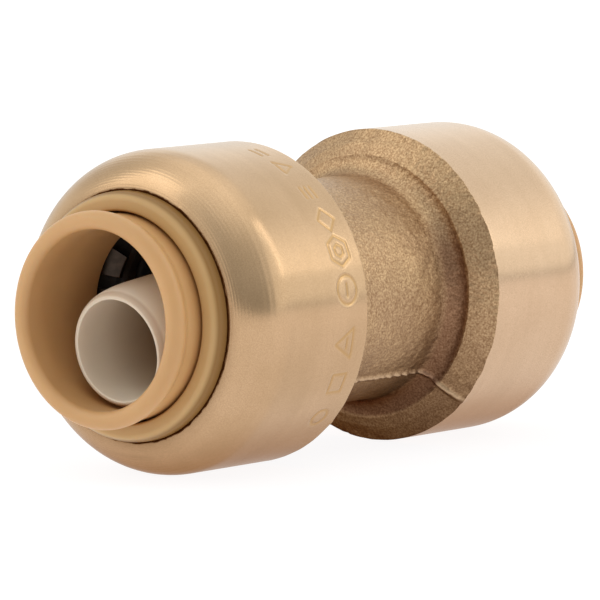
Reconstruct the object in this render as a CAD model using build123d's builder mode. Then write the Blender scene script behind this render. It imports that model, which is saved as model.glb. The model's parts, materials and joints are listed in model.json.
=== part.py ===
"""Push fit coupling for 1/2 in pipe: two identical sockets back to back on a cast brass neck.

The coupling axis is X and the origin is the middle of the neck. Lengths are millimetres.
Each section below is drawn for the right-hand socket (+X). The left-hand pieces are its mirror image.
Sections stand in the XZ plane, so a point is (distance along the axis, radius).
"""

import os
from math import asin, cos, degrees, radians, sin

from build123d import *

# ---- Pipe that the coupling takes ----
pipe_radius = 15.875 / 2
pipe_clearance = 0.16

# ---- Outside of the brass body ----
head_radius = 14.7
neck_radius = 10.5
shoulder_x = 9.75           # sharp edge between the cast shoulder and the turned head
neck_fillet = 1.8           # the neck sweeps up into the shoulder's flat face
face_x = 8.2
crest_radius = 12.4         # the face ends here and the rounded cast rim leans back to the edge
crest_round = 0.3
rim_bevel_x = 8.75
rim_bevel_radius = 13.4
rim_bevel_round = 2.5
dome_x = 20.55              # end of the straight turned cylinder
dome_length = 4.7
dome_drop = 3.73
lip_radius = 11.3           # hole in the rolled-over lip
lip_land = 0.7
flash_height = 0.25         # parting line left by the casting mould
flash_thickness = 0.5
flash_root = 0.3            # how deep the flash is rooted in the body
flash_margin = 0.6          # it ends this far below the shoulder's sharp edge
parting_angle = -46.0

# ---- Bore of the brass body ----
waterway_radius = 6.3
groove_radius = 7.0         # groove that holds the liner's bead
groove_start = 0.55
groove_end = 3.85
pipe_stop_x = 6.2
seat_radius = pipe_radius + pipe_clearance
gland_x = 12.0
gland_radius = 10.8
housing_x = 15.4
housing_radius = 12.3
housing_end = 22.35

# ---- Tube liner ----
liner_pivot_x = 2.2         # centre of the bead
liner_droop = 6.7           # degrees that the loose liner hangs below the axis
liner_root = 1.2            # length behind the bead's centre
liner_length = 25.0         # length in front of the bead's centre
liner_radius = 5.65
liner_tip_radius = 4.97
liner_bore = 4.62
liner_lead = 4.0
bead_radius = 6.7
bead_half_width = 0.7
bead_crown = 0.1
liner_tip_round = 0.15

# ---- Seal and grab ring ----
o_ring_radius = 1.5
o_ring_x = 13.65
protector_front = 16.95
protector_bore = 8.15
protector_nose_radius = 9.1
protector_lead = 0.4
protector_cone_radius = 10.8    # outer end of the cone that backs the teeth
protector_rim_radius = 11.3
protector_rim_front = 19.25
ring_thickness = 0.4
ring_x = 19.6               # middle of the flat rim
ring_outer = 12.0
tooth_root = 10.5
tooth_bite = 0.19           # the teeth bite this far into the pipe
tooth_tip = pipe_radius - tooth_bite
tooth_tip_x = 18.0
tooth_count = 14
tooth_gap = 1.3
slot_margin = 0.2           # solid rim left outside the slots
slot_run_out = 1.0

# ---- Collar retainer ----
retainer_back = 19.95
retainer_front = 26.7
retainer_shoulder_x = 22.15
retainer_nose_x = 24.07
retainer_nose_radius = 11.1
retainer_front_round = 0.55
retainer_recess = 10.45
retainer_bore = 9.5
retainer_mouth_chamfer = 0.25
retainer_lip_x = 23.4

# ---- Release collar ----
collar_front = 30.3
collar_nose = 20.2
collar_radius = 9.3
collar_flange_radius = 10.2
collar_flange_back = 22.35
collar_flange_front = 23.3
collar_nose_radius = 9.0
collar_flare_x = 28.2
collar_flare_round = 1.5
collar_rim_x = 29.5
collar_rim_radius = 9.75
collar_rim_round = 0.75
collar_mouth_round = 0.45
collar_bore = pipe_radius + pipe_clearance     # guide land at the mouth, where the pipe enters
collar_relief = 8.35
collar_land_back = 27.9
collar_lead = 0.4           # length of the cones at the land's back and at the nose

clearance = 0.1             # between the housing's bore and the pieces in it
seating_gap = 0.02          # left between the seals' pieces and the faces they rest on

os.makedirs("parts", exist_ok=True)


def export(name, part):
    """Label one finished piece and write it."""
    part.label = name
    export_step(part, f"parts/{name}.step")


# ---- Brass body: cast neck, turned heads and rolled lips in one piece ----
dome_centre = (dome_x, head_radius - dome_drop)
lip_angle = degrees(asin((lip_radius - dome_centre[1]) / dome_drop))    # just short of a full quarter
lip_x = dome_x + dome_length * cos(radians(lip_angle))
lip_back = lip_x - lip_land

with BuildPart() as body:
    with BuildSketch(Plane.XZ) as body_section:
        with BuildLine():
            Polyline((0, neck_radius), (face_x, neck_radius), (face_x, crest_radius),
                     (rim_bevel_x, rim_bevel_radius),
                     (shoulder_x, head_radius), (dome_x, head_radius))
            EllipticalCenterArc(dome_centre, dome_length, dome_drop, start_angle=lip_angle,
                                arc_size=90 - lip_angle)
            Polyline((lip_x, lip_radius), (lip_back, lip_radius), (housing_end, housing_radius),
                     (housing_x, housing_radius), (housing_x, gland_radius), (gland_x, gland_radius),
                     (gland_x, seat_radius), (pipe_stop_x, seat_radius), (pipe_stop_x, waterway_radius),
                     (groove_end, waterway_radius), (groove_end, groove_radius),
                     (groove_start, groove_radius), (groove_start, waterway_radius),
                     (0, waterway_radius), (0, neck_radius))
        make_face()
        corner_rounds = (((face_x, neck_radius), neck_fillet),
                         ((face_x, crest_radius), crest_round),
                         ((rim_bevel_x, rim_bevel_radius), rim_bevel_round))
        for place, size in corner_rounds:
            corner = body_section.vertices().sort_by_distance(place)[0]
            fillet(corner, radius=size)
        mirror(about=Plane.YZ)
    revolve(axis=Axis.X)
    # The mould's parting line stands proud of the neck and the two shoulders, on opposite sides.
    parting_plane = Plane.XZ.rotated((parting_angle, 0, 0))
    sweep_middle = neck_fillet * (1 - cos(radians(45))) + flash_height * cos(radians(45))
    with BuildSketch(parting_plane) as flash_section:
        with BuildLine():
            Polyline((0, neck_radius - flash_root), (0, neck_radius + flash_height),
                     (face_x - neck_fillet, neck_radius + flash_height),
                     (face_x - sweep_middle, neck_radius + sweep_middle),
                     (face_x - flash_height, neck_radius + neck_fillet),
                     (face_x - flash_height, crest_radius),
                     (rim_bevel_x - flash_height, rim_bevel_radius),
                     (shoulder_x - flash_height - flash_margin, head_radius - flash_margin),
                     (shoulder_x + flash_root, head_radius - flash_margin),
                     (shoulder_x + flash_root, neck_radius - flash_root), (0, neck_radius - flash_root))
        make_face()
        mirror(about=Plane.YZ)
        mirror(about=Plane.XZ)
    extrude(amount=flash_thickness / 2, both=True)
export("body", body.part)

# ---- Tube liner: a thin sleeve with a lead-in, held loosely by its bead, lying on the collar's bore ----
droop = radians(liner_droop)
liner_plane = Plane(origin=(liner_pivot_x, 0, 0), x_dir=(cos(droop), 0, -sin(droop)), z_dir=(0, -1, 0))
liner_axis = Axis((liner_pivot_x, 0, 0), (cos(droop), 0, -sin(droop)))
bead_edge = bead_radius - bead_crown
with BuildPart() as tube_liner:
    with BuildSketch(liner_plane):
        with BuildLine():
            Polyline((liner_length, liner_tip_radius - liner_tip_round), (liner_length, liner_bore),
                     (-liner_root, liner_bore), (-liner_root, liner_radius),
                     (-bead_half_width, liner_radius), (-bead_half_width, bead_edge))
            ThreePointArc((-bead_half_width, bead_edge), (0, bead_radius), (bead_half_width, bead_edge))
            Polyline((bead_half_width, bead_edge), (bead_half_width, liner_radius),
                     (liner_length - liner_lead, liner_radius))
            lead = TangentArc((liner_length - liner_lead, liner_radius),
                              (liner_length - liner_tip_round, liner_tip_radius), tangent=(1, 0))
            Line(lead @ 1, (liner_length, liner_tip_radius - liner_tip_round))
        make_face()
    revolve(axis=liner_axis)

# ---- O-ring, squeezed between the gland and the pipe ----
with BuildPart() as o_ring:
    with BuildSketch(Plane.XZ):
        with Locations((o_ring_x, gland_radius - o_ring_radius - seating_gap)):
            Circle(o_ring_radius)
    revolve(axis=Axis.X)

# ---- O-ring protector: keeps the teeth off the O-ring and carries the grab ring's rim ----
protector_back = housing_x + seating_gap
protector_outer = housing_radius - clearance
cone_x = protector_front + (ring_x - tooth_tip_x)
with BuildPart() as o_ring_protector:
    with BuildSketch(Plane.XZ):
        with BuildLine():
            Polyline((protector_back, protector_bore), (protector_front - protector_lead, protector_bore),
                     (protector_front, protector_bore + protector_lead),
                     (protector_front, protector_nose_radius), (cone_x, protector_cone_radius),
                     (protector_rim_front, protector_rim_radius), (protector_rim_front, protector_outer),
                     (protector_back, protector_outer), (protector_back, protector_bore))
        make_face()
    revolve(axis=Axis.X)

# ---- Grab ring: a flat rim whose slotted inner edge is pressed into a cone of teeth ----
half_gauge = ring_thickness / 2
with BuildPart() as grab_ring:
    with BuildSketch(Plane.XZ):
        with BuildLine():
            Polyline((ring_x - half_gauge, ring_outer), (ring_x + half_gauge, ring_outer),
                     (ring_x + half_gauge, tooth_root), (tooth_tip_x + half_gauge, tooth_tip),
                     (tooth_tip_x - half_gauge, tooth_tip), (ring_x - half_gauge, tooth_root),
                     (ring_x - half_gauge, ring_outer))
        make_face()
    revolve(axis=Axis.X)
    slot_outer = tooth_root - slot_margin - tooth_gap / 2
    slot_inner = tooth_tip - tooth_gap
    with BuildSketch(Plane.YZ.offset(tooth_tip_x - slot_run_out)):
        with PolarLocations((slot_outer + slot_inner) / 2, tooth_count, start_angle=90):
            SlotCenterToCenter(slot_outer - slot_inner, tooth_gap)
    extrude(amount=ring_x - tooth_tip_x + 2 * slot_run_out, mode=Mode.SUBTRACT)

# ---- Collar retainer: the ring that the brass lip is rolled over ----
retainer_outer = housing_radius - clearance
with BuildPart() as collar_retainer:
    with BuildSketch(Plane.XZ) as retainer_section:
        with BuildLine():
            Polyline((retainer_back, retainer_recess), (retainer_back, retainer_outer),
                     (retainer_shoulder_x, retainer_outer), (retainer_nose_x, retainer_nose_radius),
                     (retainer_front, retainer_nose_radius), (retainer_front, retainer_bore),
                     (retainer_lip_x, retainer_bore), (retainer_lip_x, retainer_recess),
                     (retainer_back, retainer_recess))
        make_face()
        front_corner = retainer_section.vertices().sort_by_distance((retainer_front, retainer_nose_radius))[0]
        fillet(front_corner, radius=retainer_front_round)
        mouth_corner = retainer_section.vertices().sort_by_distance((retainer_front, retainer_bore))[0]
        chamfer(mouth_corner, length=retainer_mouth_chamfer)
    revolve(axis=Axis.X)

# ---- Release collar: pushed in, its nose bends the teeth off the pipe ----
with BuildPart() as release_collar:
    with BuildSketch(Plane.XZ) as collar_section:
        with BuildLine():
            Polyline((collar_nose, collar_relief), (collar_nose + collar_lead, collar_nose_radius),
                     (collar_flange_back, collar_nose_radius), (collar_flange_back, collar_flange_radius),
                     (collar_flange_front, collar_flange_radius), (collar_flange_front, collar_radius),
                     (collar_flare_x, collar_radius), (collar_rim_x, collar_rim_radius),
                     (collar_front, collar_rim_radius), (collar_front, collar_bore),
                     (collar_land_back, collar_bore), (collar_land_back - collar_lead, collar_relief),
                     (collar_nose, collar_relief))
        make_face()
        rim_corner = collar_section.vertices().sort_by_distance((collar_front, collar_rim_radius))[0]
        fillet(rim_corner, radius=collar_rim_round)
        mouth_corner = collar_section.vertices().sort_by_distance((collar_front, collar_bore))[0]
        fillet(mouth_corner, radius=collar_mouth_round)
        flare_corner = collar_section.vertices().sort_by_distance((collar_flare_x, collar_radius))[0]
        fillet(flare_corner, radius=collar_flare_round)
    revolve(axis=Axis.X)

socket_pieces = {
    "tube_liner": tube_liner,
    "o_ring": o_ring,
    "o_ring_protector": o_ring_protector,
    "grab_ring": grab_ring,
    "collar_retainer": collar_retainer,
    "release_collar": release_collar,
}

for piece_name, piece in socket_pieces.items():
    export(f"right_{piece_name}", piece.part)
    with BuildPart() as mirrored:
        mirror(piece.part, about=Plane.YZ)
    export(f"left_{piece_name}", mirrored.part)
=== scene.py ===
"""Looks of the push fit coupling: turned and cast brass body, plastic collars and liners, steel grab rings.

Sections are drawn in millimetres as (distance along the axis, radius) and turned about X, the coupling's
axis. Every section is drawn for the right-hand socket and mirrored for the left-hand one.
"""

import json
import math

import bpy
import numpy as np
from mathutils import Matrix, Vector, noise


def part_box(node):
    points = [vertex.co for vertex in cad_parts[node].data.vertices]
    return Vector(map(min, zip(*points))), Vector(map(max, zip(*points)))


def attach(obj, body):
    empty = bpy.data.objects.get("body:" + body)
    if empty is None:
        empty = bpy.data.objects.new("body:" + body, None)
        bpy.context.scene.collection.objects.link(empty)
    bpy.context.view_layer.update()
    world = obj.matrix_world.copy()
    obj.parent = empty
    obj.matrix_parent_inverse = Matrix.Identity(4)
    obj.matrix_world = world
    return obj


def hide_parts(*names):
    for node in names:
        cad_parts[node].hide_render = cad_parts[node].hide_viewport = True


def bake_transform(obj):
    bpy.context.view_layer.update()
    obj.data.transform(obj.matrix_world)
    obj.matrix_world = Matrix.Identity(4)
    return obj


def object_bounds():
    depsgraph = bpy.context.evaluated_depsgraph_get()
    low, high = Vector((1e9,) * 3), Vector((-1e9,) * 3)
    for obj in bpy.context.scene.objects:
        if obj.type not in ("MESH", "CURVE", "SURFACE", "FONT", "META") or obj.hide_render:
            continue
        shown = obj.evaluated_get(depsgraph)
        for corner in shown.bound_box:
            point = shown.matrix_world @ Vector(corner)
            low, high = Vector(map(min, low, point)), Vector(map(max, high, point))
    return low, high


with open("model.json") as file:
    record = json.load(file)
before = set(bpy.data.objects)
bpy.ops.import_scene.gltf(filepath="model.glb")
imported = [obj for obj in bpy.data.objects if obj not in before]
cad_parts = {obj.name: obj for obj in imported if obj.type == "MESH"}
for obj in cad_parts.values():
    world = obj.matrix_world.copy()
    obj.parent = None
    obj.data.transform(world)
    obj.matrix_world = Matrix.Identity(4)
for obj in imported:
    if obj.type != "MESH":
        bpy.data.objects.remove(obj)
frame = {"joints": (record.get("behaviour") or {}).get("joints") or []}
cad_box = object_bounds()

MM = 0.001
SIDES = {"left": -1.0, "right": 1.0}


# ---------------------------------------------------------------- sizes read from the frame (mm)

def reach(node):
    """(nearest x, furthest x, outer radius) of a right-hand CAD node."""
    low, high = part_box(node)
    return low.x / MM, high.x / MM, high.y / MM


def joint(name):
    return next(j for j in frame["joints"] if j["name"] == name)


_, lip_x, head_radius = reach("body")
retainer_back, retainer_front, retainer_radius = reach("right_collar_retainer")
collar_nose, collar_front, flange_radius = reach("right_release_collar")
protector_back, protector_front, protector_radius = reach("right_o_ring_protector")
o_ring_back, o_ring_front, o_ring_outer = reach("right_o_ring")
ring_back, ring_front, ring_radius = reach("right_grab_ring")
liner_joint = joint("right_liner_tilt")
liner_pivot = liner_joint["pos_m"][0] / MM
liner_droop = math.radians(liner_joint["range_deg"][1] / 2)
liner_tip_x = reach("right_tube_liner")[1]


# ---------------------------------------------------------------- camera

VIEW_AZIMUTH = math.radians(-50.85)
VIEW_ELEVATION = math.radians(6.145)
VIEW_DISTANCE = 33.78       # in head radii
AIM_RIGHT, AIM_UP = -0.0554, -0.0436    # where the lens points, from the object's middle, in head radii
LENS_MM = 321.4


def add_camera():
    back = Vector((math.sin(VIEW_AZIMUTH) * math.cos(VIEW_ELEVATION),
                   -math.cos(VIEW_AZIMUTH) * math.cos(VIEW_ELEVATION), math.sin(VIEW_ELEVATION)))
    right = Vector((0, 0, 1)).cross(back).normalized()
    up = back.cross(right)
    unit = head_radius * MM
    spot = (back * VIEW_DISTANCE + right * AIM_RIGHT + up * AIM_UP) * unit
    data = bpy.data.cameras.new("camera")
    data.lens = LENS_MM
    data.sensor_width = 36.0
    data.clip_start = 0.01
    data.clip_end = 50.0
    camera = bpy.data.objects.new("camera", data)
    camera.matrix_world = Matrix.Translation(spot) @ Matrix((right, up, back)).transposed().to_4x4()
    bpy.context.scene.collection.objects.link(camera)
    bpy.context.scene.camera = camera


# ---------------------------------------------------------------- drawing sections

def rounded(corners, closed=True, steps=5):
    """A path through corners (x, radius, rounding), with each corner replaced by a tangent arc."""
    path = []
    count = len(corners)
    for i, corner in enumerate(corners):
        here = np.array(corner[:2], float)
        size = corner[2] if len(corner) > 2 else 0.0
        if size <= 0 or (not closed and i in (0, count - 1)):
            path.append(here)
            continue
        to_last = np.array(corners[i - 1][:2], float) - here
        to_next = np.array(corners[(i + 1) % count][:2], float) - here
        to_last /= np.linalg.norm(to_last)
        to_next /= np.linalg.norm(to_next)
        half = math.acos(np.clip(to_last @ to_next, -1, 1)) / 2
        middle = to_last + to_next
        middle /= np.linalg.norm(middle)
        centre = here + middle * size / math.sin(half)
        start = here + to_last * size / math.tan(half) - centre
        sweep = math.pi - 2 * half
        turn = np.sign(to_last[0] * to_next[1] - to_last[1] * to_next[0])
        for k in range(steps + 1):
            a = -turn * sweep * k / steps
            path.append(centre + np.array((start[0] * math.cos(a) - start[1] * math.sin(a),
                                           start[0] * math.sin(a) + start[1] * math.cos(a))))
    return path


def divided(path, longest, closed=True):
    """The same path with no step longer than longest."""
    out = []
    count = len(path)
    for i in range(count if closed else count - 1):
        a, b = np.array(path[i]), np.array(path[(i + 1) % count])
        cuts = max(1, math.ceil(np.linalg.norm(b - a) / longest))
        out += [a + (b - a) * k / cuts for k in range(cuts)]
    if not closed:
        out.append(np.array(path[-1]))
    return out


def mirrored(section, side):
    return [(x * side, r) for x, r in section]


# ---------------------------------------------------------------- making meshes

def new_piece(name, points, faces, body, slot, material, *stands_for):
    """A smooth shaded object that rides on a CAD body and stands for CAD nodes."""
    mesh = bpy.data.meshes.new(name)
    mesh.from_pydata([tuple(p) for p in points], [], faces)
    mesh.validate()
    for polygon in mesh.polygons:
        polygon.use_smooth = True
    piece = bpy.data.objects.new(name, mesh)
    bpy.context.scene.collection.objects.link(piece)
    mesh.materials.append(material)
    if body:
        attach(piece, body)
    if stands_for:
        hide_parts(*stands_for)
    return piece


def lattice_faces(rows, columns):
    """Quads over a lattice of points that closes on itself both ways."""
    r = np.arange(rows)[:, None]
    c = np.arange(columns)[None]
    r2, c2 = (r + 1) % rows, (c + 1) % columns
    quads = np.stack(np.broadcast_arrays(r * columns + c, r2 * columns + c,
                                         r2 * columns + c2, r * columns + c2), -1)
    return quads.reshape(-1, 4)


def facing_out(points, faces):
    """The faces turned so that the volume they enclose is positive."""
    a, b, c = (points[faces[:, i]] for i in range(3))
    d = points[faces[:, 3]]
    volume = (a * np.cross(b, c)).sum() + (a * np.cross(c, d)).sum()
    return faces if volume > 0 else faces[:, ::-1]


def turned(section, angles):
    """Points and faces of a section turned about X, in metres."""
    section = np.array(section, float)
    x = np.broadcast_to(section[:, 0][:, None], (len(section), len(angles)))
    radius = section[:, 1][:, None]
    points = np.stack((x, radius * np.cos(angles), radius * np.sin(angles)), -1).reshape(-1, 3) * MM
    faces = facing_out(points, lattice_faces(len(section), len(angles)))
    return points, faces


def even_angles(count):
    return np.arange(count) * 2 * math.pi / count


# ---------------------------------------------------------------- materials

PLAIN = (1.0, 1.0, 1.0)     # multiplies a colour without changing it


def node_tools(tree):
    """Short ways to add a node with its inputs, and to link sockets."""

    def add(kind, settings=None, **inputs):
        node = tree.nodes.new("ShaderNode" + kind)
        for key, value in (settings or {}).items():
            setattr(node, key, value)
        for key, value in inputs.items():
            numbered = key[0] == "i" and key[1:].isdigit()
            socket = node.inputs[int(key[1:]) if numbered else key.replace("_", " ")]
            if isinstance(value, bpy.types.NodeSocket):
                tree.links.new(value, socket)
            else:
                socket.default_value = value
        return node

    return add, tree.links.new


def blank_material(name):
    """A material with its Principled shader, and the node tools."""
    material = bpy.data.materials.new(name)
    material.use_nodes = True
    shader = material.node_tree.nodes["Principled BSDF"]
    return material, shader, *node_tools(material.node_tree)


def math_node(add, operation, a, b=0.0, c=0.0):
    return add("Math", {"operation": operation}, i0=a, i1=b, i2=c).outputs[0]


def from_unit(add, value):
    """A value from -1 to 1, brought to 0 to 1."""
    return math_node(add, "MULTIPLY_ADD", value, 0.5, 0.5)


def ramp(add, value, stops):
    """A colour ramp with stops of (position, colour)."""
    node = add("ValToRGB", Fac=value)
    elements = node.color_ramp.elements
    while len(elements) < len(stops):
        elements.new(0.5)
    for element, (position, colour) in zip(elements, stops):
        element.position = position
        element.color = (*colour, 1.0)
    return node.outputs["Color"]


def mix(add, blend, factor, a, b):
    return add("Mix", {"data_type": "RGBA", "blend_type": blend}, i0=factor, i6=a, i7=b).outputs[2]


def open_sky(add, reach):
    """1 where the surface is open, falling to 0 where it is hemmed in within reach (mm)."""
    return add("AmbientOcclusion", {"samples": 6}, Distance=reach * MM).outputs["AO"]


def painted_occlusion_shade(add, reach, darkest, closed, open_from):
    """Painted shade: white where the surface is open, and the darkest colour where it is hemmed in within
    reach (mm).
    """
    return ramp(add, open_sky(add, reach), ((closed, darkest), (open_from, PLAIN)))


def distance_from_axis(add, place):
    _, y, z = add("SeparateXYZ", Vector=place).outputs
    return math_node(add, "SQRT", math_node(add, "MULTIPLY_ADD", y, y, math_node(add, "MULTIPLY", z, z)))


def lathe_coordinates(add, along, around):
    """A texture vector that runs fast along the axis and the radius, and slowly around them."""
    place = add("TexCoord").outputs["Object"]
    x, y, z = add("SeparateXYZ", Vector=place).outputs
    radius = distance_from_axis(add, place)
    angle = math_node(add, "ARCTAN2", z, y)
    return add("CombineXYZ", X=math_node(add, "MULTIPLY", x, along),
               Y=math_node(add, "MULTIPLY", radius, along),
               Z=math_node(add, "MULTIPLY", angle, around)).outputs[0]


RING_PITCH = 0.24           # feed of the tool that turned the domes, mm


def turned_brass():
    """Satin brass with the fine circular lines that the lathe leaves."""
    material, shader, add, link = blank_material("turned_brass")
    place = add("TexCoord").outputs["Object"]
    fine = add("TexNoise", Vector=lathe_coordinates(add, 6500.0, 5.0), Scale=1.0, Detail=4.0,
               Roughness=0.7).outputs[0]
    broad = add("TexNoise", Vector=lathe_coordinates(add, 900.0, 0.8), Scale=1.0, Detail=2.0).outputs[0]
    speck = add("TexNoise", Vector=place, Scale=9000.0, Detail=2.0).outputs[0]
    cloud = add("TexNoise", Vector=place, Scale=190.0, Detail=5.0).outputs[0]
    # painted light: the right-hand head is painted a lighter brass than the left-hand head, as if more light
    # fell on it
    left = ramp(add, cloud, ((0.30, (0.545, 0.360, 0.205)), (0.72, (0.605, 0.405, 0.240))))
    right = ramp(add, cloud, ((0.30, (0.625, 0.430, 0.275)), (0.72, (0.665, 0.465, 0.305))))
    along = add("SeparateXYZ", Vector=place).outputs["X"]
    side = add("MapRange", Value=along, From_Min=-8 * MM, From_Max=10 * MM).outputs[0]
    colour = mix(add, "MIX", side, left, right)
    streaks = ramp(add, broad, ((0.30, (0.965, 0.962, 0.955)), (0.70, PLAIN)))
    colour = mix(add, "MULTIPLY", 1.0, colour, streaks)
    specks = ramp(add, speck, ((0.35, (0.90, 0.88, 0.85)), (0.62, PLAIN)))
    colour = mix(add, "MULTIPLY", 1.0, colour, specks)
    # painted shade: darker where the surface is hemmed in within 14 mm, by other parts and by the floor, so
    # darker towards the bottom; the same painted shade also tints the reflections (Specular Tint)
    shade = painted_occlusion_shade(add, 14, (0.69, 0.57, 0.48), 0.10, 0.50)
    colour = mix(add, "MULTIPLY", 1.0, colour, shade)
    radius = distance_from_axis(add, place)
    # painted shade along the lip's edge; the most hemmed-in part of the gap is painted lighter again, a
    # painted highlight on the burr
    near_lip = add("MapRange", Value=radius, From_Min=13.0 * MM, From_Max=12.2 * MM).outputs[0]
    lip_shade = ramp(add, open_sky(add, 2.3),
                     ((0.18, (0.80, 0.58, 0.36)), (0.45, (0.30, 0.22, 0.14)), (0.98, PLAIN)))
    colour = mix(add, "MULTIPLY", near_lip, colour, lip_shade)
    link(shade, shader.inputs["Specular Tint"])
    mark = add("Attribute", {"attribute_name": "mark"}).outputs["Fac"]
    colour = mix(add, "MIX", mark, colour, (0.50, 0.30, 0.12, 1))
    link(colour, shader.inputs["Base Color"])
    shader.inputs["Metallic"].default_value = 1.0
    rough = add("MapRange", Value=fine, To_Min=0.18, To_Max=0.28)
    link(rough.outputs[0], shader.inputs["Roughness"])
    shader.inputs["Anisotropic"].default_value = 0.6
    shader.inputs["Anisotropic Rotation"].default_value = 0.25
    tangent = add("Tangent", {"direction_type": "RADIAL", "axis": "X"})
    link(tangent.outputs[0], shader.inputs["Tangent"])
    rings = math_node(add, "SINE", math_node(add, "MULTIPLY", radius, 2 * math.pi / (RING_PITCH * MM)))
    turned_in = add("Bump", Strength=0.5, Distance=0.007 * MM, Height=rings)
    pits = add("Bump", Strength=0.35, Distance=0.004 * MM, Height=speck, Normal=turned_in.outputs[0])
    grooves = add("Bump", Strength=0.35, Distance=0.010 * MM, Height=fine, Normal=pits.outputs[0])
    waves = add("Bump", Strength=0.20, Distance=0.02 * MM, Height=broad, Normal=grooves.outputs[0])
    link(waves.outputs[0], shader.inputs["Normal"])
    return material


def cast_brass():
    """Sand cast skin: brown bronze grains with bright crests and dark pits."""
    material, shader, add, link = blank_material("cast_brass")
    place = add("TexCoord").outputs["Object"]
    grain = add("TexNoise", Vector=place, Scale=5200.0, Detail=3.0, Roughness=0.65).outputs[0]
    crests = add("TexVoronoi", {"feature": "F1"}, Vector=place, Scale=6000.0).outputs[0]
    cloud = add("TexNoise", Vector=place, Scale=260.0, Detail=3.0).outputs[0]
    colour = ramp(add, grain, ((0.32, (0.310, 0.180, 0.088)), (0.50, (0.460, 0.295, 0.160)),
                               (0.66, (0.640, 0.440, 0.245))))
    stains = ramp(add, cloud, ((0.30, (0.88, 0.86, 0.88)), (0.70, PLAIN)))
    colour = mix(add, "MULTIPLY", 1.0, colour, stains)
    flash = add("Attribute", {"attribute_name": "flash"}).outputs["Fac"]
    colour = mix(add, "MIX", flash, colour, (0.66, 0.47, 0.30, 1))
    # painted shade: darker where the surface is hemmed in within 20 mm, by the other head, the neck and the
    # floor; surfaces of the shoulder's rim that face down are painted darker still. The same painted shade
    # also tints the reflections (Specular Tint)
    shade = painted_occlusion_shade(add, 20, (0.36, 0.28, 0.23), 0.06, 0.66)
    facing = add("SeparateXYZ", Vector=add("NewGeometry").outputs["Normal"]).outputs["Z"]
    radius = distance_from_axis(add, place)
    painted_underside_shade = ramp(add, from_unit(add, facing), ((0.18, (0.55, 0.50, 0.47)), (0.46, PLAIN)))
    rim = add("MapRange", Value=radius, From_Min=10.7 * MM, From_Max=12.0 * MM).outputs[0]
    shade = mix(add, "MULTIPLY", rim, shade, painted_underside_shade)
    # painted shade: the shoulder's face and its fillet into the neck are painted darker, except round the top
    x, _, z = add("SeparateXYZ", Vector=place).outputs
    height = math_node(add, "DIVIDE", z, radius)
    painted_fillet_shade = ramp(add, from_unit(add, height), ((0.68, (0.58, 0.49, 0.50)), (0.82, PLAIN)))
    along = math_node(add, "ABSOLUTE", x)
    begins = add("MapRange", Value=along, From_Min=6.2 * MM, From_Max=7.3 * MM).outputs[0]
    ends = add("MapRange", Value=radius, From_Min=12.4 * MM, From_Max=12.1 * MM).outputs[0]
    shade = mix(add, "MULTIPLY", math_node(add, "MULTIPLY", begins, ends), shade, painted_fillet_shade)
    colour = mix(add, "MULTIPLY", 1.0, colour, shade)
    link(shade, shader.inputs["Specular Tint"])
    link(colour, shader.inputs["Base Color"])
    shader.inputs["Metallic"].default_value = 1.0
    rough = add("MapRange", Value=crests, To_Min=0.30, To_Max=0.50)
    link(rough.outputs[0], shader.inputs["Roughness"])
    pits = add("Bump", Strength=0.7, Distance=0.03 * MM, Height=grain)
    facets = add("Bump", Strength=0.5, Distance=0.02 * MM, Height=crests, Normal=pits.outputs[0])
    link(facets.outputs[0], shader.inputs["Normal"])
    return material


def moulded_plastic(name, dark, light, deep, roughness, shine, subsurface, glow):
    """Satin moulded plastic, a little translucent, with a faint flow pattern and a fine moulded grain.

    It takes its painted shade colour where the attribute deep says so: painted shade on the parts that lie in
    shade.
    """
    material, shader, add, link = blank_material(name)
    place = add("TexCoord").outputs["Object"]
    flow = add("TexNoise", Vector=place, Scale=130.0, Detail=3.0, Distortion=0.6)
    grain = add("TexNoise", Vector=place, Scale=5200.0, Detail=2.0)
    colour = ramp(add, flow.outputs[0], ((0.30, dark), (0.70, light)))
    colour = mix(add, "MIX", add("Attribute", {"attribute_name": "deep"}).outputs["Fac"], colour, (*deep, 1))
    # painted shade: darker in narrow gaps and recesses, within 1.3 mm
    colour = mix(add, "MULTIPLY", 1.0, colour, painted_occlusion_shade(add, 1.3, (0.75, 0.62, 0.48), 0.30, 0.85))
    link(colour, shader.inputs["Base Color"])
    rough = add("MapRange", Value=grain.outputs[0], To_Min=roughness - 0.05, To_Max=roughness + 0.07)
    link(rough.outputs[0], shader.inputs["Roughness"])
    shader.inputs["Specular IOR Level"].default_value = shine
    shader.inputs["Subsurface Weight"].default_value = subsurface
    shader.inputs["Subsurface Radius"].default_value = glow
    shader.inputs["Subsurface Scale"].default_value = 0.7 * MM
    shader.inputs["IOR"].default_value = 1.47
    skin = add("Bump", Strength=0.25, Distance=0.006 * MM, Height=grain.outputs[0])
    link(skin.outputs[0], shader.inputs["Normal"])
    return material


def rubber():
    material, shader, add, link = blank_material("seal_rubber")
    place = add("TexCoord").outputs["Object"]
    bloom = add("TexNoise", Vector=place, Scale=600.0, Detail=4.0)
    link(ramp(add, bloom.outputs[0], ((0.35, (0.012, 0.012, 0.013)), (0.75, (0.035, 0.034, 0.033)))),
         shader.inputs["Base Color"])
    rough = add("MapRange", Value=bloom.outputs[0], To_Min=0.35, To_Max=0.6)
    link(rough.outputs[0], shader.inputs["Roughness"])
    return material


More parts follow.
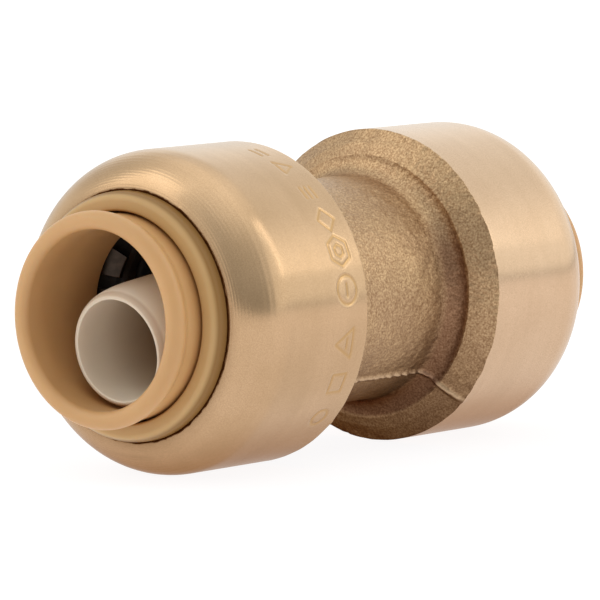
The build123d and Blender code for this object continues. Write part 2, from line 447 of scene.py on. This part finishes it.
def spring_steel():
    material, shader, add, link = blank_material("spring_steel")
    place = add("TexCoord").outputs["Object"]
    rolled = add("TexNoise", Vector=place, Scale=1800.0, Detail=3.0)
    # painted shade: the steel is given a near-black colour, for the shade deep in the bore
    link(ramp(add, rolled.outputs[0], ((0.35, (0.050, 0.038, 0.030)), (0.70, (0.085, 0.064, 0.050)))),
         shader.inputs["Base Color"])
    shader.inputs["Metallic"].default_value = 1.0
    rough = add("MapRange", Value=rolled.outputs[0], To_Min=0.28, To_Max=0.42)
    link(rough.outputs[0], shader.inputs["Roughness"])
    bump = add("Bump", Strength=0.3, Distance=0.01 * MM, Height=rolled.outputs[0])
    link(bump.outputs[0], shader.inputs["Normal"])
    return material


TURNED = turned_brass()
CAST = cast_brass()
TAN = moulded_plastic("collar_tan", (0.560, 0.310, 0.125), (0.610, 0.345, 0.145), (0.36, 0.19, 0.07),
                      0.42, 0.50, 0.20, (1.0, 0.45, 0.18))
TAN_RING = moulded_plastic("retainer_tan", (0.520, 0.325, 0.140), (0.570, 0.360, 0.160),
                           (0.280, 0.146, 0.044), 0.36, 0.25, 0.15, (1.0, 0.45, 0.18))
WHITE = moulded_plastic("liner_white", (0.91, 0.82, 0.68), (0.96, 0.88, 0.75), (0.45, 0.29, 0.165),
                        0.38, 0.50, 0.20, (1.0, 0.75, 0.5))
DARK = moulded_plastic("protector_dark", (0.030, 0.024, 0.020), (0.045, 0.036, 0.030), (0.02, 0.016, 0.013),
                       0.45, 0.50, 0.05, (1.0, 0.8, 0.6))
RUBBER = rubber()
STEEL = spring_steel()


# ---------------------------------------------------------------- brass body

NECK_RADIUS = 10.5
NECK_FILLET = 1.8           # the neck sweeps up into the shoulder's face
FACE_X = 8.2
CREST_RADIUS = 12.4         # the face ends here and the rounded cast rim leans back to the edge
BEVEL_X, BEVEL_RADIUS = 8.75, 13.4
SHOULDER_X = 9.75           # sharp edge between the cast shoulder and the turned head
DOME_X, DOME_LENGTH, DOME_DROP = 20.55, 4.7, 3.73
DOME_SWEEP = 85             # degrees of the dome's curve before the lip's edge
LIP_RADIUS = 11.3
LIP_LAND = 0.75
HOUSING_BACK, HOUSING_FRONT, HOUSING_RADIUS = 15.4, 22.35, 12.3     # room for the retainer and the rings
GLAND_BACK, GLAND_RADIUS = 12.0, 10.8   # the O-ring sits here
SEAT_BACK, SEAT_RADIUS = 6.2, 8.0975    # the pipe's end stops here
GROOVE_START, GROOVE_END, GROOVE_RADIUS = 0.55, 3.85, 7.0           # the liner's bead sits here
WATERWAY_RADIUS = 6.3
PARTING_ANGLE = math.radians(-136.0)
FLASH_WIDTH, FLASH_HEIGHT = 0.20, 0.36
EDGE_RAGGED = 0.16          # how far the cut edge of the shoulder wanders
LEFT_EDGE = -0.25           # the left shoulder's edge wanders less, and the other way
LIP_RAGGED = 0.14
GRAIN_STEP = 0.22           # longest step of the mesh over the cast skin
MARK_X = -12.45             # middle of the row of stamped marks
MARK_STEP = 0.13
MARK_BAND = 2.0             # half the width of the finely divided band under the marks


def outer_section():
    """The outside from the middle of the neck to the lip, as three paths: cast skin, turned head and dome."""
    cast = rounded([(0, NECK_RADIUS), (FACE_X, NECK_RADIUS, NECK_FILLET), (FACE_X, CREST_RADIUS, 0.3),
                    (BEVEL_X, BEVEL_RADIUS, 2.5),
                    (SHOULDER_X, head_radius, 0.08), (SHOULDER_X + 0.3, head_radius)], closed=False, steps=7)
    edge = next(i for i, p in enumerate(cast) if p[1] > head_radius - 0.08)
    skin = divided(cast[:edge + 1], GRAIN_STEP, closed=False)
    head = divided([cast[-1], np.array((DOME_X, head_radius))], 0.8, closed=False)[:-1]
    dome = [np.array((DOME_X + DOME_LENGTH * math.sin(a), head_radius - DOME_DROP * (1 - math.cos(a))))
            for a in np.radians(np.linspace(0, DOME_SWEEP, 22))]
    return skin + cast[edge + 1:-1], head, dome


def bore_section():
    """The inside from the lip's edge back to the middle of the waterway."""
    return rounded([
        (lip_x - 0.02, LIP_RADIUS + 0.1, 0.08), (lip_x - 0.1, LIP_RADIUS, 0.08),
        (lip_x - LIP_LAND, LIP_RADIUS, 0.1),
        (HOUSING_FRONT, HOUSING_RADIUS, 0.3), (HOUSING_BACK, HOUSING_RADIUS, 0.15),
        (HOUSING_BACK, GLAND_RADIUS, 0.1), (GLAND_BACK, GLAND_RADIUS, 0.2),
        (GLAND_BACK, SEAT_RADIUS, 0.2), (SEAT_BACK, SEAT_RADIUS, 0.15), (SEAT_BACK, WATERWAY_RADIUS, 0.12),
        (GROOVE_END, WATERWAY_RADIUS, 0.1), (GROOVE_END, GROOVE_RADIUS, 0.12),
        (GROOVE_START, GROOVE_RADIUS, 0.12), (GROOVE_START, WATERWAY_RADIUS, 0.1), (0, WATERWAY_RADIUS)],
        closed=False, steps=3)


def marked_angles():
    """Angles round the body, close together where the marks are."""
    first, last = math.radians(98), math.radians(228)
    close = np.linspace(first, last, int(head_radius * (last - first) / MARK_STEP), endpoint=False)
    wide = np.linspace(last, first + 2 * math.pi, 130, endpoint=False)
    return np.concatenate((close, wide))


def segment_distance(u, v, ends):
    """Distance from (u, v) to the nearest of some straight strokes ((u0, v0), (u1, v1))."""
    best = np.full(u.shape, 9.0)
    for (a, b), (c, d) in ends:
        t = np.clip(((u - a) * (c - a) + (v - b) * (d - b)) / ((c - a) ** 2 + (d - b) ** 2), 0, 1)
        best = np.minimum(best, np.hypot(u - a - t * (c - a), v - b - t * (d - b)))
    return best


def polygon_strokes(sides, radius, start=0.0):
    turns = [start + 2 * math.pi * k / sides for k in range(sides + 1)]
    corner = [(radius * math.cos(a), radius * math.sin(a)) for a in turns]
    return list(zip(corner, corner[1:]))


def bars(count, length, gap):
    offset = (count - 1) / 2
    return [((-length / 2, (k - offset) * gap), (length / 2, (k - offset) * gap)) for k in range(count)]


# Plain geometric stamps: (angle in degrees, strokes)
MARKS = (
    (107, bars(2, 1.5, 0.9)),
    (119, polygon_strokes(3, 1.1, math.pi / 2)),
    (133, bars(3, 1.3, 0.7)),
    (145, polygon_strokes(4, 1.15)),
    (157, polygon_strokes(6, 1.45) + polygon_strokes(6, 0.6)),
    (171, polygon_strokes(28, 1.3) + bars(1, 1.1, 0)),
    (190, polygon_strokes(3, 1.6, -math.pi / 2) + bars(1, 0.9, 0)),
    (205, polygon_strokes(4, 1.3, math.pi / 4)),
    (220, polygon_strokes(28, 0.9)),
)
MARK_LINE = 0.13
MARK_DEPTH = 0.07
MARK_TINT = 0.75            # how strongly the marks are stained


def mark_depth(x, angle):
    """From 0 to 1, how deep the stamps are at each point of the left head."""
    depth = np.zeros(x.shape)
    angle = angle % (2 * math.pi)
    for degrees, strokes in MARKS:
        u = (angle - math.radians(degrees)) * head_radius
        near = (np.abs(u) < 2.2) & (np.abs(x - MARK_X) < 2.2)
        distance = segment_distance(u[near], x[near] - MARK_X, strokes)
        depth[near] = np.maximum(depth[near], np.clip(1.6 - distance / MARK_LINE, 0, 1))
    return depth


def cast_skin(point):
    """Height of the sand cast surface above its smooth form, in mm."""
    p = Vector(point) / MM
    lumps = noise.fractal(p * 0.55, 0.8, 2.0, 2)
    grains = noise.noise(p * 2.3) + 0.7 * noise.noise(p * 4.1 + Vector((7, 3, 1)))
    return 0.035 * lumps + 0.030 * grains


def left_path(cast, head, dome):
    """The left half of the body's section, with its head divided finely where the marks are."""
    marked = list(np.arange(MARK_X - MARK_BAND, MARK_X + MARK_BAND, MARK_STEP))
    plain = [-p[0] for p in head if abs(-p[0] - MARK_X) > MARK_BAND + 0.1]
    head_x = sorted(plain + marked, reverse=True)
    path = cast + [np.array((-x, head_radius)) for x in head_x] + dome + bore_section()
    return [np.array((-p[0], p[1])) for p in path][::-1]


def flash_amount(angles):
    """From 0 to 1, how much of the mould's parting line stands at each angle; it is on two opposite sides."""
    amount = np.zeros(len(angles))
    for opposite in (0, math.pi):
        away = np.abs((angles - PARTING_ANGLE - opposite + math.pi) % (2 * math.pi) - math.pi)
        amount = np.maximum(amount, np.exp(-(away * NECK_RADIUS / FLASH_WIDTH) ** 2))
    return amount


def roughen_cast_skin(grid, section, rows, outward, flash):
    """Lumps, grains and the crumbly parting line, pushed out along the section's normal."""
    for row in rows:
        x, r = section[row]
        along = np.array(section[row + 1]) - np.array(section[row - 1])
        normal = np.array((-along[1], along[0])) / np.linalg.norm(along)
        fade = np.clip((head_radius - 0.02 - r) / 0.25, 0.25, 1)
        crumbs = 0.75 + 0.6 * noise.noise(Vector((x * 1.6, r * 1.6, 5)))
        for column, away in enumerate(outward):
            out = np.array((normal[0], 0, 0)) + away * normal[1]
            bump = cast_skin(grid[row, column]) * fade + flash[column] * FLASH_HEIGHT * crumbs * min(fade, 1)
            grid[row, column] += out * bump * MM


def fray_shoulder(grid, section, angles):
    """The cut edge between shoulder and head wanders along the axis."""
    ragged = np.array([noise.fractal(Vector((14 * math.cos(a), 14 * math.sin(a), 3)) * 0.9, 0.6, 2.0, 3)
                       for a in angles])
    for row, (x, r) in enumerate(section):
        near_edge = np.clip(1 - abs(abs(x) - SHOULDER_X) / 0.5, 0, 1) * (r > head_radius - 0.7)
        grid[row, :, 0] += near_edge * EDGE_RAGGED * ragged * (1.0 if x > 0 else LEFT_EDGE) * MM


def fray_lip(grid, section, angles, outward):
    """The rolled lip's inner edge is a little burred."""
    for row, (x, r) in enumerate(section):
        at_lip = np.clip(1 - abs(r - LIP_RADIUS - 0.05) / 0.45, 0, 1) * (abs(x) > lip_x - 0.5)
        if at_lip == 0:
            continue
        for column, a in enumerate(angles):
            burr = noise.fractal(Vector((11 * math.cos(a), 11 * math.sin(a), x)) * 1.1, 0.5, 2.0, 3)
            grid[row, column] += outward[column] * at_lip * LIP_RAGGED * (burr - 0.5) * MM


def make_body():
    cast, head, dome = outer_section()
    left = left_path(cast, head, dome)
    section = left[:-1] + (cast + head + dome + bore_section())[:-1]
    middle = len(left) - 1
    cast_count = len(cast)
    angles = marked_angles()
    outward = np.array([(0, math.cos(a), math.sin(a)) for a in angles])
    points, faces = turned(section, angles)
    grid = points.reshape(len(section), len(angles), 3)

    outside = np.zeros(len(section), bool)
    outside[middle - cast_count + 1:middle + cast_count] = True
    flash = flash_amount(angles)
    roughen_cast_skin(grid, section, np.nonzero(outside)[0], outward, flash)
    fray_shoulder(grid, section, angles)
    fray_lip(grid, section, angles, outward)
    x = np.broadcast_to(np.array(section)[:, 0][:, None], grid.shape[:2])
    on_head = (np.array(section)[:, 1] > head_radius - 1e-6)[:, None]
    depth = mark_depth(x, np.broadcast_to(angles[None], x.shape)) * on_head
    grid -= (depth * MARK_DEPTH * MM)[..., None] * outward[None]

    points = grid.reshape(-1, 3)
    piece = new_piece("coupling_body", points, faces.tolist(), "housing", "brass", TURNED, "body")
    mesh = piece.data
    mesh.materials.append(CAST)
    rows = np.arange(len(faces)) // len(angles)
    is_cast = (rows >= middle - cast_count + 2) & (rows < middle + cast_count - 2)
    mesh.polygons.foreach_set("material_index", is_cast.astype(np.int32))
    seam = mesh.attributes.new("flash", "FLOAT", "POINT")
    seam.data.foreach_set("value", (flash[None] * outside[:, None]).astype(np.float32).reshape(-1))
    stamp = mesh.attributes.new("mark", "FLOAT", "POINT")
    stamp.data.foreach_set("value", (depth.reshape(-1) * MARK_TINT).astype(np.float32))
    return piece


# ---------------------------------------------------------------- plastic, rubber and steel pieces

def retainer_section():
    return divided(rounded([
        (retainer_back, 10.45, 0.1), (retainer_back, retainer_radius, 0.2), (22.15, retainer_radius, 0.4),
        (24.07, 11.34, 0.4), (retainer_front - 0.7, 11.2, 0.9), (retainer_front, 10.75, 0.6),
        (retainer_front, 9.5, 0.25), (23.4, 9.5, 0.12), (23.4, 10.45, 0.12)], steps=8), 0.6)


def collar_section():
    return divided(rounded([
        (collar_nose, 8.35, 0.08), (collar_nose + 0.4, 9.0, 0.12), (22.35, 9.0, 0.15),
        (22.35, flange_radius, 0.15), (23.3, flange_radius, 0.15), (23.3, 9.3, 0.15), (28.3, 9.3, 1.2),
        (collar_front - 1.2, 9.76, 1.2), (collar_front, 9.76, 0.86), (collar_front, 8.0975, 0.70),
        (28.1, 8.0975, 12.0), (25.6, 8.35, 12.0)], steps=10), 0.6)


def protector_section():
    return divided(rounded([
        (protector_back, 8.15, 0.2), (16.55, 8.15, 0.15), (16.95, 8.5, 0.1), (16.95, 9.1, 0.15),
        (18.55, 10.8, 0.15), (protector_front, 11.3, 0.1), (protector_front, protector_radius, 0.15),
        (protector_back, protector_radius, 0.2)], steps=4), 0.6)


def o_ring_section():
    size = (o_ring_front - o_ring_back) / 2
    middle = (o_ring_front + o_ring_back) / 2
    return [(middle + size * math.cos(a), o_ring_outer - size + size * math.sin(a)) for a in even_angles(28)]


LEAD_START = 4.0            # the liner's lead-in: a long quarter of an ellipse
LEAD_LENGTH, LEAD_DROP = 3.85, 0.68
LEAD_TIP_RADIUS = 4.97
LEAD_SWEEP = 78             # degrees
LINER_BORE, LINER_RADIUS, BEAD_RADIUS = 4.62, 5.65, 6.7


def liner_section():
    """The liner about its own axis, from its bead; x is measured from the bead's centre."""
    tip = (liner_tip_x - liner_pivot - 4.6 * math.sin(liner_droop)) / math.cos(liner_droop)
    lead = [(tip - LEAD_START + LEAD_LENGTH * math.sin(a), LEAD_TIP_RADIUS + LEAD_DROP * math.cos(a))
            for a in np.radians(np.linspace(0, LEAD_SWEEP, 9))]
    nose = rounded([lead[-1], (tip, 4.93, 0.16), (tip, LINER_BORE, 0.12), (-1.2, LINER_BORE, 0.2),
                    (-1.2, LINER_RADIUS, 0.3), (-0.7, LINER_RADIUS, 0.1), (-0.7, 6.6, 0.2),
                    (0, BEAD_RADIUS, 2.0), (0.7, 6.6, 0.2), (0.7, LINER_RADIUS, 0.2), lead[0]],
                   closed=False, steps=4)
    return divided(lead + nose[1:-1], 0.9)


def paint_shade(piece, amount):
    """Where the plastic takes its painted shade colour, from 0 to 1 for each point of a piece: painted shade.
    """
    deep = piece.data.attributes.new("deep", "FLOAT", "POINT")
    deep.data.foreach_set("value", amount.astype(np.float32))


def make_ring(name, section, side, body, slot, material, node, count=256):
    points, faces = turned(mirrored(section, side), even_angles(count))
    return new_piece(name, points, faces.tolist(), body, slot, material, node)


def make_retainer(name, side, node):
    """The retainer; its outer rim is painted darker than its face: painted shade."""
    piece = make_ring(name, retainer_section(), side, "housing", "collar_plastic", TAN_RING, node)
    points = np.array([v.co for v in piece.data.vertices]) / MM
    radius = np.hypot(points[:, 1], points[:, 2])
    set_back = retainer_front - np.abs(points[:, 0])
    paint_shade(piece, np.clip((radius - 10.75) / 0.35, 0, 1) * np.clip(set_back / 0.5, 0.3, 1))


def make_liner(name, side, body, node):
    points, faces = turned(liner_section(), even_angles(192))
    c, s = math.cos(liner_droop), math.sin(liner_droop)
    x, y, z = points.T
    drooped = np.stack(((x * c + z * s + liner_pivot * MM) * side, y, -x * s + z * c), -1)
    faces = facing_out(drooped, faces)
    piece = new_piece(name, drooped, faces.tolist(), body, "liner_plastic", WHITE, node)
    # painted shade: the bore is painted darker further in from the tip, and the outside within 0.7 mm of the
    # tip a little darker
    back = (x.max() - x) / MM
    inside = np.hypot(y, z) < (LINER_BORE + 0.08) * MM
    tip = np.clip(1.4 - back / 0.5, 0, 0.55)
    paint_shade(piece, np.where(inside, np.clip(back / 11, 0.30, 1), tip))
    return piece


TEETH = 14
GAUGE = 0.4
TOOTH_TIP = 7.7475
TOOTH_ROOT = 10.5
SLOT_HALF = 0.65            # half the gap between two teeth


def make_grab_ring(name, side, node):
    """A stamped ring: a flat rim and teeth that lean in, with rounded slots between them."""
    rim_x = ring_front - GAUGE / 2
    tip_x = ring_back + GAUGE / 2
    tooth_radii = np.linspace(TOOTH_TIP, TOOTH_ROOT, 12)
    rim_radii = np.linspace(TOOTH_ROOT, ring_radius, 6)[1:]
    radii = np.concatenate((tooth_radii, rim_radii))
    per_tooth = 14
    pitch = 2 * math.pi / TEETH
    lean = np.clip((TOOTH_ROOT - radii) / (TOOTH_ROOT - TOOTH_TIP), 0, 1)
    x_mid = rim_x + (tip_x - rim_x) * lean
    slot_end = TOOTH_ROOT - 0.2
    points, faces = [], []
    for tooth in range(TEETH):
        centre = (tooth + 0.5) * pitch + math.pi / 2
        for layer in (-1, 1):
            for i, r in enumerate(radii):
                depth = slot_end - r
                if depth <= 0:
                    half_gap = 0.0
                elif depth < SLOT_HALF:
                    half_gap = math.sqrt(SLOT_HALF ** 2 - (SLOT_HALF - depth) ** 2)
                else:
                    half_gap = SLOT_HALF
                reach_angle = pitch / 2 - half_gap / r
                for k in range(per_tooth + 1):
                    a = centre + reach_angle * (2 * k / per_tooth - 1)
                    points.append(((x_mid[i] + layer * GAUGE / 2) * side, r * math.cos(a), r * math.sin(a)))
    width = per_tooth + 1
    layer_size = len(radii) * width
    for tooth in range(TEETH):
        base = tooth * 2 * layer_size
        for i in range(len(radii) - 1):
            for k in range(per_tooth):
                a = base + i * width + k
                faces.append((a, a + 1, a + width + 1, a + width))
                b = a + layer_size
                faces.append((b, b + width, b + width + 1, b + 1))
        for k in range(per_tooth):
            a = base + k
            faces.append((a, a + layer_size, a + layer_size + 1, a + 1))
            b = base + (len(radii) - 1) * width + k
            faces.append((b, b + 1, b + layer_size + 1, b + layer_size))
        for i in range(len(radii) - 1):
            if radii[i] >= slot_end:
                continue
            for k, flip in ((0, False), (per_tooth, True)):
                a = base + i * width + k
                quad = (a, a + width, a + width + layer_size, a + layer_size)
                faces.append(quad[::-1] if flip else quad)
    points = np.array(points) * MM
    faces = facing_out(points, np.array(faces))
    mesh = bpy.data.meshes.new(name)
    mesh.from_pydata([tuple(p) for p in points], [], faces.tolist())
    piece = bpy.data.objects.new(name, mesh)
    bpy.context.scene.collection.objects.link(piece)
    weld = piece.modifiers.new("weld", "WELD")
    weld.merge_threshold = 0.002 * MM
    bevel = piece.modifiers.new("edges", "BEVEL")
    bevel.width = 0.06 * MM
    bevel.segments = 2
    bevel.limit_method = "ANGLE"
    bevel.angle_limit = math.radians(50)
    mesh.materials.append(STEEL)
    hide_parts(node)
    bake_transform(piece)
    return piece


def make_socket(side_name, side):
    """Everything in one socket."""
    at = f"{side_name}_"
    make_retainer(at + "retainer_ring", side, at + "collar_retainer")
    make_ring(at + "push_collar", collar_section(), side, at + "collar", "collar_plastic", TAN,
              at + "release_collar")
    make_ring(at + "spacer_ring", protector_section(), side, "housing", "protector_plastic", DARK,
              at + "o_ring_protector", count=160)
    make_ring(at + "seal_ring", o_ring_section(), side, "housing", "rubber", RUBBER, at + "o_ring", count=128)
    make_liner(at + "liner", side, at + "liner", at + "tube_liner")
    make_grab_ring(at + "toothed_ring", side, at + "grab_ring")


# ---------------------------------------------------------------- studio

def add_floor():
    """A white floor just under the heads, wide enough to reach the horizon. It glows, a little less near the
    object: a painted shadow round it.
    """
    size = 6.0
    z = cad_box[0][2]
    mesh = bpy.data.meshes.new("floor")
    corners = [(-size, -size, z), (size, -size, z), (size, size, z), (-size, size, z)]
    mesh.from_pydata(corners, [], [(0, 1, 2, 3)])
    floor = bpy.data.objects.new("floor", mesh)
    bpy.context.scene.collection.objects.link(floor)
    material, shader, add, link = blank_material("floor_white")
    place = add("TexCoord").outputs["Object"]
    paper = add("TexNoise", Vector=place, Scale=30.0, Detail=3.0)
    link(ramp(add, paper.outputs[0], ((0.3, (0.13, 0.13, 0.13)), (0.7, (0.14, 0.14, 0.14)))),
         shader.inputs["Base Color"])
    shader.inputs["Roughness"].default_value = 0.9
    shader.inputs["Specular IOR Level"].default_value = 0.0
    shader.inputs["Emission Color"].default_value = (1, 0.985, 0.985, 1)
    # painted shadow: the floor's glow is dimmer within about 12 cm of the object's middle
    away = add("VectorMath", {"operation": "LENGTH"}, i0=place).outputs["Value"]
    link(add("MapRange", Value=away, From_Min=0.03, From_Max=0.12, To_Min=0.92, To_Max=1.02).outputs[0],
         shader.inputs["Emission Strength"])
    mesh.materials.append(material)


def toward(azimuth, elevation):
    """The direction from the object to a place round it; azimuth 0 is in front of it and 90 to its right."""
    a, e = math.radians(azimuth), math.radians(elevation)
    return Vector((math.sin(a) * math.cos(e), -math.cos(a) * math.cos(e), math.sin(e)))


def add_softbox(name, azimuth, elevation, width, height, power, colour, distance=0.9):
    data = bpy.data.lights.new(name, "AREA")
    data.shape = "RECTANGLE"
    data.size = width
    data.size_y = height
    data.energy = power
    data.color = colour
    light = bpy.data.objects.new(name, data)
    direction = toward(azimuth, elevation)
    light.location = direction * distance
    light.rotation_euler = direction.to_track_quat("Z", "Y").to_euler()
    bpy.context.scene.collection.objects.link(light)


SMOOTH = {"interpolation_type": "SMOOTHSTEP"}


def add_world():
    """Bright walls and ceiling, a dim front where the camera stands and a thin dim line at the horizon."""
    world = bpy.data.worlds.new("studio")
    bpy.context.scene.world = world
    world.use_nodes = True
    add, link = node_tools(world.node_tree)
    look = add("TexCoord").outputs["Generated"]
    height = add("SeparateXYZ", Vector=look).outputs["Z"]
    level = add("VectorMath", {"operation": "MULTIPLY"}, i0=look, i1=(1, 1, 0)).outputs[0]
    level = add("VectorMath", {"operation": "NORMALIZE"}, i0=level).outputs[0]

    def sector(azimuth, outer, inner):
        """1 within inner degrees of an azimuth, falling to 0 at outer degrees."""
        along = add("VectorMath", {"operation": "DOT_PRODUCT"}, i0=level, i1=toward(azimuth, 0))
        return add("MapRange", SMOOTH, Value=along.outputs["Value"], From_Min=math.cos(math.radians(outer)),
                   From_Max=math.cos(math.radians(inner))).outputs[0]

    def rise(low, high, start, end):
        """From start to end as the look rises from low to high."""
        return add("MapRange", SMOOTH, Value=height, From_Min=low, From_Max=high, To_Min=start,
                   To_Max=end).outputs[0]

    right_wall = math_node(add, "MULTIPLY", sector(80, 75, 45), rise(0.42, 0.62, 0.26, 0.0))
    walls = math_node(add, "ADD", rise(0.62, 1.0, 1.08, 1.42), right_wall)
    back = math_node(add, "MULTIPLY", sector(178, 32, 10), rise(0.25, 0.45, 0.0, 0.22))
    walls = math_node(add, "SUBTRACT", walls, back)
    skirt = math_node(add, "MULTIPLY", sector(131, 30, 12), rise(0.20, 0.40, 0.17, 0.0))
    walls = math_node(add, "SUBTRACT", walls, skirt)
    dim = math_node(add, "MULTIPLY", sector(-42, 68, 35), math_node(add, "MULTIPLY_ADD", height, -0.48, 0.66))
    walls = math_node(add, "SUBTRACT", walls, dim)
    horizon = math_node(add, "MULTIPLY", sector(75, 60, 30), rise(0.02, 0.07, 0.45, 0.0))
    walls = math_node(add, "MULTIPLY", walls, math_node(add, "SUBTRACT", 1.0, horizon))
    background = world.node_tree.nodes["Background"]
    background.inputs["Color"].default_value = (0.97, 1.0, 0.99, 1)
    link(walls, background.inputs["Strength"])


def add_studio():
    add_floor()
    add_world()
    add_softbox("softbox_left", -130, 34, 0.44, 0.80, 0.86, (1.0, 0.98, 0.93))
    add_softbox("softbox_right", 45, 33, 0.14, 0.52, 0.36, (1.0, 0.99, 0.95))
    view = bpy.context.scene.view_settings
    view.view_transform = "Standard"
    view.look = "None"
    view.exposure = 0.0


# ---------------------------------------------------------------- putting it together

add_camera()
make_body()
for side_name, side in SIDES.items():
    make_socket(side_name, side)
add_studio()
